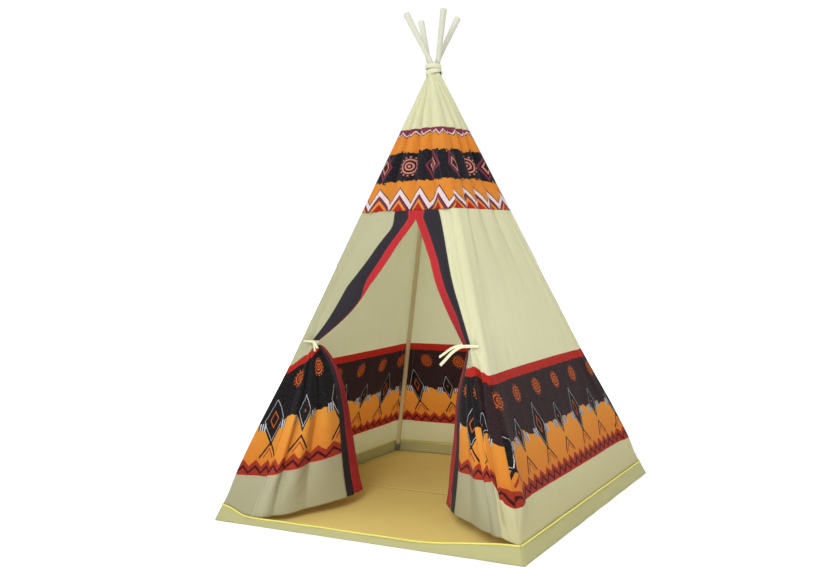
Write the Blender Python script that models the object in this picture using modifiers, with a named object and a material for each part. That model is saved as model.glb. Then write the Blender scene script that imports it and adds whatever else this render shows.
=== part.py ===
# Kids teepee: four jointed poles in sewn sleeves, a canopy of four faces with a
# tied-back doorway, and a sewn-in ground sheet. Metres, +Z up, doorway towards -Y.
import math

import bmesh
import bpy
from mathutils import Matrix, Vector

# Driving sizes of the whole tent
BASE_SIDE = 1.10
CROSSING_HEIGHT = 1.47
CANOPY_TOP = 1.444
TIP_LENGTH = 0.203
CLEARANCE = 0.0003

# Cloth
CLOTH = 0.001
SHEET = 0.001
SEAM_HEIGHT = 0.0486
PIPING_RADIUS = 0.0022

# Poles: three tubes joined by plugs, a rubber foot and a cloth sleeve
POLE_RADIUS = 0.007
POLE_WALL = 0.001
PLUG_LENGTH = 0.080
COLLAR_LENGTH = 0.004
FOOT_RADIUS = 0.0094
FOOT_LENGTH = 0.026
FOOT_BORE_FLOOR = 0.002
SLEEVE = 0.0008
SLEEVE_RADIUS = 0.0092
SLEEVE_WAIST_RADIUS = 0.0080
SLEEVE_END_RADIUS = 0.0112
SLEEVE_FOOT = 0.030
WAIST_HALF = 0.020
WAIST_EASE = 0.120
SLEEVE_END_ROOM = 0.006
POLE_SIDE_OFFSET = 0.0123
ROUND_STEPS = 16

# Lashing of flat tape round the crossing
TAPE_WIDTH = 0.0135
TAPE_THICK = 0.0016
TAPE_GAP = 0.0005
TAPE_TURNS = 2
TAPE_POINTS = 20

# Doorway in the front face: strips at its top, from the middle, and at the ties, from the corner
BAND_BOTTOM = 0.985
DOOR_APEX = 0.950
TIE_HEIGHT = 0.565
DARK_TOP = 0.085
RED_TOP = 0.030
DARK_TO_CORNER = 0.045
RED_TO_CORNER = 0.056
OPEN_TO_CORNER = 0.067
TIE_ROOM = 0.012
DOOR_CURL = 0.012

# Hems of the two tied-back flaps: where each leaves the seam, from the corner, and on the
# ground plan, inwards from the corner, the feet of its print, dark strip and red strip
LEFT_HEM_START = 0.130
RIGHT_HEM_START = 0.055
HEM_RISE = 0.040
LEFT_HEM_ENDS = ((0.334, 0.269), (0.331, 0.314), (0.328, 0.369))
RIGHT_HEM_ENDS = ((0.339, 0.239), (0.379, 0.284), (0.419, 0.329))
GATHER_STEP = 0.007
FLAP_BOW = 0.038
FLAP_FOLD = 0.020
FLAP_FOLD_COUNT = 2.5

# Soft folds of the stretched faces
WALL_FOLD = 0.006
WALL_FOLD_COUNT = 3
WALL_FOLD_WIDTH_SHARE = 0.03

# Ties at the doorway
TIE_CORD = 0.0020
TIE_RING = 0.0125
TIE_KNOT = 0.0050
TIE_RING_POINTS = 16
TIE_RUN = 0.030
TAIL_DROOP_SHARE = 0.125
TAIL_ROUTE_SHARES = ((0.35, 1), (0.7, 0.6))
RIGHT_TAILS = ((-0.098, -0.004, -0.036), (-0.092, -0.010, -0.064))
LEFT_TAILS = ((0.022, -0.008, -0.020), (0.012, -0.010, -0.030))

# Ground sheet: the corner that stays under the folded bundle
SHEET_CORNER = 0.150

CORNERS = ("front_left", "front_right", "back_right", "back_left")
SIDES = ("front", "right", "back", "left")

half_base = BASE_SIDE / 2
foot_height = SHEET + CLEARANCE + FOOT_RADIUS


def settle_plan():
    # The poles' plan sets the lean of the faces, and that lean sets the room for the poles.
    face_tan = half_base / CROSSING_HEIGHT
    for _ in range(20):
        face_cos = math.cos(math.atan(face_tan))
        room = (SLEEVE_RADIUS + 2 * CLEARANCE) / face_cos
        reach = math.sqrt(2) * (half_base - CLOTH / face_cos - room)
        run = math.sqrt(reach**2 - POLE_SIDE_OFFSET**2)
        face_tan = run / (math.sqrt(2) * CROSSING_HEIGHT)
    return room, reach, run


sleeve_room, foot_reach, cross_run = settle_plan()
pole_lean = math.atan2(cross_run, CROSSING_HEIGHT)


def pole_plan(corner):
    # The ground point of a pole's axis, and the plan direction in which it leans
    diagonal = math.radians(225 + 90 * corner)
    ground = Vector((math.cos(diagonal), math.sin(diagonal))) * foot_reach
    heading = diagonal + math.pi + math.atan2(POLE_SIDE_OFFSET, cross_run)
    return ground, Vector((math.cos(heading), math.sin(heading)))


def pole_at(corner, height):
    ground, lean = pole_plan(corner)
    return ground + lean * cross_run * height / CROSSING_HEIGHT


def inner_corner(corner, height):
    # The canopy's inner edge line runs just outside the pole's sleeve.
    axis = pole_at(corner % 4, height)
    return axis * (1 + math.sqrt(2) * sleeve_room / axis.length)


def wall_point(side, across, height, proud=0.0):
    # A point of a face's inner surface; across runs 0 to 1 from left to right, seen from outside
    left = inner_corner(side, height)
    right = inner_corner(side + 1, height)
    along = (right - left).normalized()
    spot = left.lerp(right, across) + Vector((along.y, -along.x)) * proud
    return Vector((spot.x, spot.y, height))


def wall_width(side, height):
    return (inner_corner(side + 1, height) - inner_corner(side, height)).length


def front_point(x, height, proud=0.0):
    left = inner_corner(0, height)
    right = inner_corner(1, height)
    return wall_point(0, (x - left.x) / (right.x - left.x), height, proud)


def clear_scene():
    for old in list(bpy.data.objects):
        bpy.data.objects.remove(old)


def add_collection(name):
    made = bpy.data.collections.new(name)
    bpy.context.scene.collection.children.link(made)
    return made


def add_material(name, colour, roughness, metallic=0.0):
    made = bpy.data.materials.new(name)
    made.use_nodes = True
    shader = made.node_tree.nodes["Principled BSDF"]
    shader.inputs["Base Color"].default_value = (*colour, 1.0)
    shader.inputs["Roughness"].default_value = roughness
    shader.inputs["Metallic"].default_value = metallic
    return made


clear_scene()
parts = add_collection("kids_teepee")
cutters = add_collection("cutters")
cream = add_material("cream_cloth", (0.66, 0.65, 0.44), 0.85)
sleeve_cloth = add_material("sleeve_cloth", (0.70, 0.70, 0.50), 0.85)
sheet_cloth = add_material("sheet_cloth", (0.60, 0.50, 0.22), 0.80)
yellow = add_material("yellow_piping", (0.75, 0.66, 0.09), 0.70)
red = add_material("red_strip", (0.50, 0.03, 0.02), 0.80)
dark = add_material("dark_strip", (0.03, 0.025, 0.03), 0.80)
ribbon = add_material("tie_ribbon", (0.75, 0.72, 0.52), 0.80)
plastic = add_material("pole_plastic", (0.80, 0.80, 0.78), 0.45)
plug_plastic = add_material("plug_plastic", (0.10, 0.10, 0.10), 0.50)
rubber = add_material("foot_rubber", (0.06, 0.06, 0.06), 0.90)


def add_object(name, mesh, material, parent=None, group=parts):
    made = bpy.data.objects.new(name, mesh)
    group.objects.link(made)
    mesh.materials.append(material)
    mesh.shade_smooth()
    mesh.set_sharp_from_angle(angle=math.radians(40))
    made.parent = parent
    return made


def turned(name, outline, material, parent, closed=False):
    # outline holds radius and height, down the outer side from the top
    mesh = bpy.data.meshes.new(name)
    count = len(outline)
    edges = [(i, i + 1) for i in range(count - 1)]
    if closed:
        edges.append((count - 1, 0))
    mesh.from_pydata([(r, 0, z) for r, z in outline], edges, [])
    made = add_object(name, mesh, material, parent)
    screw = made.modifiers.new("turn", "SCREW")
    screw.steps = ROUND_STEPS
    screw.render_steps = ROUND_STEPS
    screw.use_merge_vertices = True
    screw.merge_threshold = 0.00001
    screw.use_smooth_shade = True
    return made


def cloth(name, columns, rows, place, material, thickness=CLOTH, outward=1):
    # A grid laid on a surface, given thickness on its outer side
    net = bmesh.new()
    bmesh.ops.create_grid(net, x_segments=columns, y_segments=rows, size=0.5)
    for vert in net.verts:
        vert.co = place(vert.co.x + 0.5, vert.co.y + 0.5)
    mesh = bpy.data.meshes.new(name)
    net.to_mesh(mesh)
    net.free()
    made = add_object(name, mesh, material)
    shell = made.modifiers.new("thickness", "SOLIDIFY")
    shell.thickness = thickness
    shell.offset = outward
    return made


def tube_curve(name, points, radius, closed=False, sides=3):
    curve = bpy.data.curves.new(name, "CURVE")
    curve.dimensions = "3D"
    curve.bevel_depth = radius
    curve.bevel_resolution = sides
    curve.use_fill_caps = not closed
    line = curve.splines.new("POLY")
    line.points.add(len(points) - 1)
    line.use_cyclic_u = closed
    for point, spot in zip(line.points, points):
        point.co = (*spot, 1)
    return curve


def curve_mesh(name, curve, group):
    # The curve's solid as a mesh with its caps welded on
    carrier = bpy.data.objects.new(name + "_route", curve)
    group.objects.link(carrier)
    seen = carrier.evaluated_get(bpy.context.evaluated_depsgraph_get())
    mesh = bpy.data.meshes.new_from_object(seen)
    mesh.name = name
    bpy.data.objects.remove(carrier)
    net = bmesh.new()
    net.from_mesh(mesh)
    bmesh.ops.remove_doubles(net, verts=net.verts, dist=0.00001)
    bmesh.ops.recalc_face_normals(net, faces=net.faces)
    net.to_mesh(mesh)
    net.free()
    mesh.materials.clear()
    return mesh


def tube(name, points, radius, material, group=parts, closed=False):
    curve = tube_curve(name, points, radius, closed)
    return add_object(name, curve_mesh(name, curve, group), material, group=group)


def united(base, others):
    for other in others:
        other.hide_render = True
        other.display_type = "WIRE"
        join = base.modifiers.new("join", "BOOLEAN")
        join.operation = "UNION"
        join.object = other
    return base


# Poles
pole_to_crossing = (CROSSING_HEIGHT - foot_height) / math.cos(pole_lean)
tube_end = pole_to_crossing + TIP_LENGTH
tube_start = FOOT_BORE_FLOOR + CLEARANCE
tube_length = (tube_end - tube_start - 2 * COLLAR_LENGTH - 4 * CLEARANCE) / 3
tube_step = tube_length + COLLAR_LENGTH + 2 * CLEARANCE


def pole_frame(corner):
    # Origin at the centre of the round foot, +Z up the pole, X level
    ground, lean = pole_plan(corner)
    up = Vector((lean.x * math.sin(pole_lean), lean.y * math.sin(pole_lean), math.cos(pole_lean)))
    level = Vector((lean.y, -lean.x, 0))
    spot = pole_at(corner, foot_height)
    frame = bpy.data.objects.new(CORNERS[corner] + "_pole_axis", None)
    parts.objects.link(frame)
    turn = Matrix((level, up.cross(level), up)).transposed().to_4x4()
    frame.matrix_world = Matrix.Translation((spot.x, spot.y, foot_height)) @ turn
    return frame


def foot_outline():
    bore = POLE_RADIUS + CLEARANCE
    dome = [
        (FOOT_RADIUS * math.cos(a), -FOOT_RADIUS * math.sin(a))
        for a in (math.radians(15 * i) for i in range(6))
    ]
    return [(0, FOOT_BORE_FLOOR), (bore, FOOT_BORE_FLOOR), (bore, FOOT_LENGTH),
            (FOOT_RADIUS, FOOT_LENGTH), *dome, (0, -FOOT_RADIUS)]


def tube_outline(start):
    inner = POLE_RADIUS - POLE_WALL
    end = start + tube_length
    return [(POLE_RADIUS, end), (POLE_RADIUS, start), (inner, start), (inner, end)]


def plug_outline(middle):
    # A plug in two tubes, with a collar between their ends
    body = POLE_RADIUS - POLE_WALL - CLEARANCE
    nose = body / 2
    half, collar = PLUG_LENGTH / 2, COLLAR_LENGTH / 2
    return [(0, middle + half), (nose, middle + half), (body, middle + half - nose),
            (body, middle + collar), (POLE_RADIUS, middle + collar),
            (POLE_RADIUS, middle - collar), (body, middle - collar),
            (body, middle - half + nose), (nose, middle - half), (0, middle - half)]


def sleeve_outline():
    # A casing closed over the tip, drawn in where the lashing holds it
    top = tube_end + SLEEVE_END_ROOM
    waist = pole_to_crossing
    soft = SLEEVE_END_RADIUS / 3
    outer = [(SLEEVE_END_RADIUS - soft, top), (SLEEVE_END_RADIUS, top - soft),
             (SLEEVE_WAIST_RADIUS, waist + WAIST_HALF),
             (SLEEVE_WAIST_RADIUS, waist - WAIST_HALF), (SLEEVE_RADIUS, waist - WAIST_EASE),
             (SLEEVE_RADIUS, SLEEVE_FOOT)]
    inner = [(r - SLEEVE, z) for r, z in reversed(outer)]
    inner[-1] = (inner[-1][0], inner[-1][1] - SLEEVE)
    return [(0, top), *outer, *inner, (0, top - SLEEVE)]


def add_pole(corner):
    frame = pole_frame(corner)
    name = CORNERS[corner]
    turned(name + "_foot_cap", foot_outline(), rubber, frame)
    for place, piece in enumerate(("lower", "middle", "upper")):
        outline = tube_outline(tube_start + place * tube_step)
        turned(f"{name}_{piece}_tube", outline, plastic, frame, closed=True)
    for place, piece in enumerate(("lower", "upper"), start=1):
        middle = tube_start + place * tube_step - CLEARANCE - COLLAR_LENGTH / 2
        turned(f"{name}_{piece}_plug", plug_outline(middle), plug_plastic, frame)
    turned(name + "_sleeve", sleeve_outline(), sleeve_cloth, frame)


def bundle_reach(rise):
    # How far the four sleeves stand out from the middle at this distance from the crossing
    run = rise * math.tan(pole_lean)
    wide = SLEEVE_WAIST_RADIUS / math.cos(pole_lean)
    turns = (math.radians(a) for a in range(0, 91, 5))
    return max(
        math.hypot(run + wide * math.cos(a), POLE_SIDE_OFFSET + SLEEVE_WAIST_RADIUS * math.sin(a))
        for a in turns
    )


def add_lashing():
    # Tape wound round the four sleeves where they pass each other
    pitch = TAPE_WIDTH + TAPE_GAP
    route = []
    for i in range(TAPE_TURNS * TAPE_POINTS + 1):
        angle = 2 * math.pi * i / TAPE_POINTS
        rise = pitch * (i / TAPE_POINTS - TAPE_TURNS / 2)
        radius = bundle_reach(abs(rise) + TAPE_WIDTH / 2) + TAPE_THICK / 2 + CLEARANCE
        radius /= math.cos(math.pi / TAPE_POINTS)
        route.append((radius * math.cos(angle), radius * math.sin(angle), CROSSING_HEIGHT + rise))
    section = bpy.data.curves.new("tape_section", "CURVE")
    section.dimensions = "2D"
    edge = section.splines.new("POLY")
    edge.points.add(3)
    edge.use_cyclic_u = True
    for point, (x, y) in zip(edge.points, ((1, 1), (-1, 1), (-1, -1), (1, -1))):
        point.co = (x * TAPE_THICK / 2, y * TAPE_WIDTH / 2, 0, 1)
    profile = bpy.data.objects.new("tape_section", section)
    cutters.objects.link(profile)
    profile.hide_render = True
    curve = tube_curve("crown_lashing", route, 0)
    curve.bevel_mode = "OBJECT"
    curve.bevel_object = profile
    curve.twist_mode = "Z_UP"
    print("lashing gap between turns", round(TAPE_GAP, 5))
    add_object("crown_lashing", curve_mesh("crown_lashing", curve, parts), ribbon)


# Canopy
def fold_depth(side, across, height):
    # Soft folds fan down from the crown and die out at the seams and the hem.
    width = wall_width(side, height)
    depth = min(WALL_FOLD, WALL_FOLD_WIDTH_SHARE * width)
    rise = (height - SEAM_HEIGHT) / (CANOPY_TOP - SEAM_HEIGHT)
    wave = math.sin(2 * math.pi * WALL_FOLD_COUNT * across + side)
    return depth * wave * math.sin(math.pi * across) ** 2 * math.sin(math.pi * rise) ** 0.5


def seam_inset(side, height):
    return CLEARANCE / wall_width(side, height)


def face_place(side, low, high):
    def place(across, rise):
        height = high - (high - low) * (1 - rise) ** 1.5
        inset = seam_inset(side, height)
        across = inset + (1 - 2 * inset) * across
        depth = fold_depth(side, across, height) if 0 < rise < 1 else 0
        return wall_point(side, across, height, depth)
    return place


wall_low = SEAM_HEIGHT + PIPING_RADIUS + CLEARANCE
border_high = SEAM_HEIGHT - PIPING_RADIUS - CLEARANCE


def add_walls():
    for side in (1, 2, 3):
        cloth(SIDES[side] + "_wall", 12, 14, face_place(side, wall_low, CANOPY_TOP), cream)
    panel_low = BAND_BOTTOM + CLEARANCE
    cloth("front_upper_panel", 8, 8, face_place(0, panel_low, CANOPY_TOP), cream)


def add_borders():
    for side in range(4):
        cloth(SIDES[side] + "_border", 4, 1, face_place(side, 0, border_high), cream)


def add_piping():
    for side in range(4):
        ends = []
        for across in (0, 1):
            spot = wall_point(side, across, SEAM_HEIGHT, PIPING_RADIUS)
            middle = wall_point(side, 0.5, SEAM_HEIGHT, PIPING_RADIUS)
            ends.append(spot + (middle - spot).normalized() * CLEARANCE)
        tube(SIDES[side] + "_piping", ends, PIPING_RADIUS, yellow)


# Doorway
def half_front(height):
    return (inner_corner(1, height).x - inner_corner(0, height).x) / 2


dark_tie = half_front(TIE_HEIGHT) - DARK_TO_CORNER
red_tie = half_front(TIE_HEIGHT) - RED_TO_CORNER
open_tie = half_front(TIE_HEIGHT) - OPEN_TO_CORNER


def share_between(low, high, height):
    return (height - low) / (high - low)


def door_line(top, tie, height, top_height=BAND_BOTTOM):
    share = share_between(TIE_HEIGHT, top_height, height)
    return tie + (top - tie) * share


def door_curl(height):
    # The doorway's edge sags inwards between the apex and the tie.
    share = min(max(share_between(TIE_HEIGHT, BAND_BOTTOM, height), 0), 1)
    return DOOR_CURL * math.sin(math.pi * share)


def strip_place(hand, inner, outer, low, high, curl_shares):
    # A strip from its edge at the opening to its edge at the pole's side
    def place(across, rise):
        height = low + (high - low) * rise
        a, b = inner(height), outer(height)
        inset = CLEARANCE / max(b - a, CLEARANCE * 4)
        share = inset + (1 - 2 * inset) * (across if hand > 0 else 1 - across)
        curl = curl_shares[0] + (curl_shares[1] - curl_shares[0]) * share
        return front_point(hand * (a + (b - a) * share), height, -curl * door_curl(height))
    return place


def dark_edge(height):
    return door_line(DARK_TOP, dark_tie, height)


def red_edge(height):
    return door_line(RED_TOP, red_tie, height)


def open_edge(height):
    return max(door_line(0, open_tie, height, DOOR_APEX), CLEARANCE / 2)


def add_drape(hand, name, hem_start):
    # The front face between pole and doorway, and below the tie the strip beside the pole
    hem_x = half_front(wall_low) - hem_start

    def edge(height):
        if height >= TIE_HEIGHT:
            return dark_edge(height)
        share = share_between(wall_low, TIE_HEIGHT, height)
        return hem_x + (dark_tie - hem_x) * share

    low_rows, rows = 6, 11

    def place(across, rise):
        row = rise * rows
        if row <= low_rows:
            height = wall_low + (TIE_HEIGHT - wall_low) * row / low_rows
        else:
            share = (row - low_rows) / (rows - low_rows)
            height = TIE_HEIGHT + (BAND_BOTTOM - CLEARANCE - TIE_HEIGHT) * share
        corner = inner_corner(0 if hand < 0 else 1, height)
        share = across if hand < 0 else 1 - across
        pole_x = abs(corner.x) - CLEARANCE
        x = pole_x + (edge(height) + CLEARANCE - pole_x) * share
        return front_point(hand * x, height)

    cloth(name, 5, rows, place, cream)


def add_door_strips(hand, word):
    low, high = TIE_HEIGHT + TIE_ROOM, BAND_BOTTOM - CLEARANCE
    cloth(f"{word}_door_dark_strip", 2, 9, strip_place(hand, red_edge, dark_edge, low, high, (0.5, 0)), dark)
    cloth(f"{word}_door_red_strip", 2, 9, strip_place(hand, open_edge, red_edge, low, high, (1, 0.5)), red)


def add_flap(hand, word, hem_start, hem_ends):
    top = TIE_HEIGHT - TIE_ROOM
    corner = half_front(0)
    hinge_low = front_point(hand * (half_front(wall_low) - hem_start), wall_low)
    hinge_high = front_point(hand * dark_tie, top)
    lows = [hinge_low]
    for x, y in hem_ends:
        lows.append(Vector((hand * (corner - x), y - corner, HEM_RISE)))
    highs = [hinge_high]
    for i in range(1, 4):
        highs.append(hinge_high + Vector((-hand * GATHER_STEP * i, GATHER_STEP * i, 0)))
    across_run = lows[1] - lows[0]
    across_run.z = 0
    across_run.normalize()
    side_way = Vector((across_run.y, -across_run.x, 0)) * hand

    def piece(left, right, folds):
        def place(across, rise):
            share = across if hand < 0 else 1 - across
            a = lows[left].lerp(highs[left], rise)
            b = lows[right].lerp(highs[right], rise)
            inset = CLEARANCE / (b - a).length
            spot = a.lerp(b, inset + (1 - 2 * inset) * share)
            # The cloth swells out below the tie, most at its free edge.
            bow = FLAP_BOW * math.sin(math.pi * rise**2) ** 0.6
            spot += across_run * bow * (share if folds else 1)
            if not folds:
                return spot
            fall = (1 - rise) ** 0.8
            wave = math.sin(2 * math.pi * FLAP_FOLD_COUNT * share)
            spot += side_way * FLAP_FOLD * fall * wave * math.sin(math.pi * share) ** 0.5
            return spot
        return place

    cloth(f"{word}_flap", 12, 12, piece(0, 1, True), cream)
    cloth(f"{word}_flap_dark_strip", 2, 12, piece(1, 2, False), dark)
    cloth(f"{word}_flap_red_strip", 2, 12, piece(2, 3, False), red)


def add_tie(hand, word, tails):
    heart = front_point(hand * (dark_tie - TIE_RING - 2 * TIE_CORD), TIE_HEIGHT)
    ring = []
    for i in range(TIE_RING_POINTS):
        angle = 2 * math.pi * i / TIE_RING_POINTS
        ring.append(heart + Vector((math.cos(angle), math.sin(angle), 0)) * TIE_RING)
    loop = tube(f"{word}_tie", ring, TIE_CORD, ribbon, closed=True)
    knot_at = heart + Vector((0, -TIE_RING, 0))
    bpy.ops.mesh.primitive_uv_sphere_add(segments=12, ring_count=8, radius=TIE_KNOT, location=knot_at)
    knot = bpy.context.object
    knot.name = f"{word}_knot"
    for group in list(knot.users_collection):
        group.objects.unlink(knot)
    cutters.objects.link(knot)
    others = [knot]
    for i, tail in enumerate(tails):
        end = knot_at + Vector(tail)
        droop = Vector((0, 0, abs(tail[0]))) * TAIL_DROOP_SHARE
        route = [knot_at]
        for reach, lift in TAIL_ROUTE_SHARES:
            route.append(knot_at.lerp(end, reach) + droop * lift)
        route.append(end)
        others.append(tube(f"{word}_tail_{i}", route, TIE_CORD, ribbon, group=cutters))
    run_start = front_point(hand * (dark_tie + TIE_RUN), TIE_HEIGHT, CLOTH + TIE_CORD + CLEARANCE)
    others.append(tube(f"{word}_run", [run_start, knot_at], TIE_CORD, ribbon, group=cutters))
    united(loop, others)


# Ground sheet: two halves that fold up inside, and the corner that stays on the ground
def sheet_piece(name, outline):
    curve = bpy.data.curves.new(name, "CURVE")
    curve.dimensions = "2D"
    curve.fill_mode = "BOTH"
    curve.extrude = SHEET / 2
    line = curve.splines.new("POLY")
    line.points.add(len(outline) - 1)
    line.use_cyclic_u = True
    for point, (x, y) in zip(line.points, outline):
        point.co = (x, y, 0, 1)
    made = add_object(name, curve_mesh(name, curve, cutters), sheet_cloth)
    made.location.z = SHEET / 2
    return made


def add_sheet():
    reach = abs(wall_point(0, 0.5, SHEET).y) - CLEARANCE
    notch = SHEET_CORNER - reach
    gap = CLEARANCE
    sheet_piece("sheet_corner", [(-reach, -reach), (notch, -reach), (notch, notch), (-reach, notch)])
    sheet_piece("sheet_front_half", [
        (notch + gap, -reach), (reach, -reach), (reach, -gap), (-reach, -gap),
        (-reach, notch + gap), (notch + gap, notch + gap)])
    sheet_piece("sheet_back_half", [(-reach, 0), (reach, 0), (reach, reach), (-reach, reach)])


for corner in range(4):
    add_pole(corner)
add_lashing()
add_walls()
add_borders()
add_piping()
add_drape(-1, "front_left_drape", LEFT_HEM_START)
add_drape(1, "front_right_drape", RIGHT_HEM_START)
add_door_strips(-1, "left")
add_door_strips(1, "right")
add_flap(-1, "left", LEFT_HEM_START, LEFT_HEM_ENDS)
add_flap(1, "right", RIGHT_HEM_START, RIGHT_HEM_ENDS)
add_tie(-1, "left", LEFT_TAILS)
add_tie(1, "right", RIGHT_TAILS)
add_sheet()
print("pole lean in degrees", round(math.degrees(pole_lean), 4))
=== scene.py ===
import math

import bpy
from mathutils import Matrix, Vector, noise


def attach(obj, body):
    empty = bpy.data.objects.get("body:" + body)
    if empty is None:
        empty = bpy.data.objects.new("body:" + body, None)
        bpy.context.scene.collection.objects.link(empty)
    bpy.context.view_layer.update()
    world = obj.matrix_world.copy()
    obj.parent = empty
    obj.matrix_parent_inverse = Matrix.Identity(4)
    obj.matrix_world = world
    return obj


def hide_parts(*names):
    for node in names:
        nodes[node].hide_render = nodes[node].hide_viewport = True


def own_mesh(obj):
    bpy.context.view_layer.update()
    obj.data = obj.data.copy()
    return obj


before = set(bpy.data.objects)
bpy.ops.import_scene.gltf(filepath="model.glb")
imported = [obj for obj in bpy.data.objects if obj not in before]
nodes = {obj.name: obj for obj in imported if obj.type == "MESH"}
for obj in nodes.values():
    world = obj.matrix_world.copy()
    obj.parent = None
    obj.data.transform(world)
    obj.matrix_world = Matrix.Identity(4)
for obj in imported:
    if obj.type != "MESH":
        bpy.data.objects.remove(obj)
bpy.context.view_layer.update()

# The tent's own measures, in metres, as the solids have them
tent = {
    "baseSide": 1.10,
    "crossing": 1.47,
    "clothTop": 1.4575,
    "cloth": 0.001,
    "sleeve": 0.0092,
    "poleOffset": 0.0123,
    "seamHeight": 0.0486,
    "panelLow": 0.985,
    "tieHeight": 0.565,
    "footHeight": 0.0107,
}
halfBase = tent["baseSide"] / 2


def settlePlan():
    # The poles' plan sets the lean of the faces, and that lean sets the room for the poles
    faceTan = halfBase / tent["crossing"]
    for _ in range(20):
        faceCos = math.cos(math.atan(faceTan))
        room = (tent["sleeve"] + 0.0006) / faceCos
        reach = math.sqrt(2) * (halfBase - tent["cloth"] / faceCos - room)
        run = math.sqrt(reach**2 - tent["poleOffset"] ** 2)
        faceTan = run / (math.sqrt(2) * tent["crossing"])
    return faceCos, room, reach, run


faceCos, cornerRoom, footReach, crossRun = settlePlan()
poleLean = math.atan2(crossRun, tent["crossing"])
cornerNames = ("front_left", "front_right", "back_right", "back_left")
sideNames = ("front", "right", "back", "left")


def polePlan(corner):
    diagonal = math.radians(225 + 90 * corner)
    ground = Vector((math.cos(diagonal), math.sin(diagonal))) * footReach
    heading = diagonal + math.pi + math.atan2(tent["poleOffset"], crossRun)
    return ground, Vector((math.cos(heading), math.sin(heading)))


def poleAt(corner, z):
    ground, lean = polePlan(corner % 4)
    return ground + lean * crossRun * z / tent["crossing"]


def innerCorner(corner, z):
    axis = poleAt(corner, z)
    return axis * (1 + math.sqrt(2) * cornerRoom / axis.length)


def wallWidth(side, z):
    return (innerCorner(side + 1, z) - innerCorner(side, z)).length


def wallPoint(side, s, z, proud=0.0):
    # s is the distance along the face from its left edge; the last centimetre turns round the pole
    left, right = innerCorner(side, z), innerCorner(side + 1, z)
    width = (right - left).length
    along = (right - left).normalized()
    out = Vector((along.y, -along.x))
    for corner, near, way in ((side, s, -1), (side + 1, width - s, 1)):
        if near < cornerRoom:
            turn = (1 - max(near, 0) / cornerRoom) * math.pi / 4
            axis = poleAt(corner, z)
            spot = axis + (out * math.cos(turn) + along * way * math.sin(turn)) * (cornerRoom + proud)
            sharp = left + along * s + (out + along * way * max(1 - near / cornerRoom, 0)) * proud
            spot = sharp.lerp(spot, smooth(0.0, 0.10, z))
            return Vector((spot.x, spot.y, z))
    spot = left + along * s + out * proud
    return Vector((spot.x, spot.y, z))


def frontPoint(x, z, proud=0.0):
    return wallPoint(0, x - innerCorner(0, z).x, z, proud)


def smooth(low, high, value):
    t = min(max((value - low) / (high - low), 0), 1)
    return t * t * (3 - 2 * t)


def lump(x, y, z, size, seed=0.0):
    return noise.noise(Vector((x / size + seed, y / size - seed * 0.7, z / size + seed * 1.3)))


# Shader helpers
def newMaterial(name, roughness, sheen=0.0):
    made = bpy.data.materials.new(name)
    made.use_nodes = True
    shader = made.node_tree.nodes["Principled BSDF"]
    shader.inputs["Roughness"].default_value = roughness
    shader.inputs["Sheen Weight"].default_value = sheen
    shader.inputs["Specular IOR Level"].default_value = 0.3
    return made, made.node_tree, shader


def calc(kind, *values):
    # Reckons with shader values and numbers, in the tree that the values belong to
    tree = next(value.id_data for value in values if not isinstance(value, (int, float)))
    made = tree.nodes.new("ShaderNodeMath")
    made.operation = kind
    for socket, value in zip(made.inputs, values):
        if isinstance(value, (int, float)):
            socket.default_value = value
        else:
            tree.links.new(value, socket)
    return made.outputs[0]


def times(a, b):
    return calc("MULTIPLY", a, b)


def plus(a, b):
    return calc("ADD", a, b)


def minus(a, b):
    return calc("SUBTRACT", a, b)


def absolute(a):
    return calc("ABSOLUTE", a)


def within(value, middle, half):
    # 1 where the value is no further than half from the middle
    return calc("COMPARE", value, middle, half)


def isOver(a, b):
    return calc("GREATER_THAN", a, b)


def isUnder(a, b):
    return calc("LESS_THAN", a, b)


def paint(under, over, mask):
    # Lays a colour, given or made, over another where the mask is 1
    tree = mask.id_data
    made = tree.nodes.new("ShaderNodeMix")
    made.data_type = "RGBA"
    made.clamp_factor = True
    tree.links.new(mask, made.inputs["Factor"])
    for socket, value in ((made.inputs["A"], under), (made.inputs["B"], over)):
        if isinstance(value, tuple):
            socket.default_value = (*value, 1)
        else:
            tree.links.new(value, socket)
    return made.outputs["Result"]


def uvParts(tree, layer):
    made = tree.nodes.new("ShaderNodeUVMap")
    made.uv_map = layer
    split = tree.nodes.new("ShaderNodeSeparateXYZ")
    tree.links.new(made.outputs["UV"], split.inputs[0])
    return split.outputs[0], split.outputs[1], made.outputs["UV"]


def noiseOn(vector, scale, detail=3.0, rough=0.5, stretch=None):
    tree = vector.id_data
    if stretch:
        mapping = tree.nodes.new("ShaderNodeMapping")
        mapping.inputs["Scale"].default_value = stretch
        tree.links.new(vector, mapping.inputs["Vector"])
        vector = mapping.outputs["Vector"]
    made = tree.nodes.new("ShaderNodeTexNoise")
    made.inputs["Scale"].default_value = scale
    made.inputs["Detail"].default_value = detail
    made.inputs["Roughness"].default_value = rough
    tree.links.new(vector, made.inputs["Vector"])
    return made.outputs["Fac"]


def objectCoords(tree):
    return tree.nodes.new("ShaderNodeTexCoord").outputs["Object"]


def bump(shader, height, strength, distance):
    tree = height.id_data
    made = tree.nodes.new("ShaderNodeBump")
    made.inputs["Strength"].default_value = strength
    made.inputs["Distance"].default_value = distance
    tree.links.new(height, made.inputs["Height"])
    tree.links.new(made.outputs["Normal"], shader.inputs["Normal"])


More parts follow.
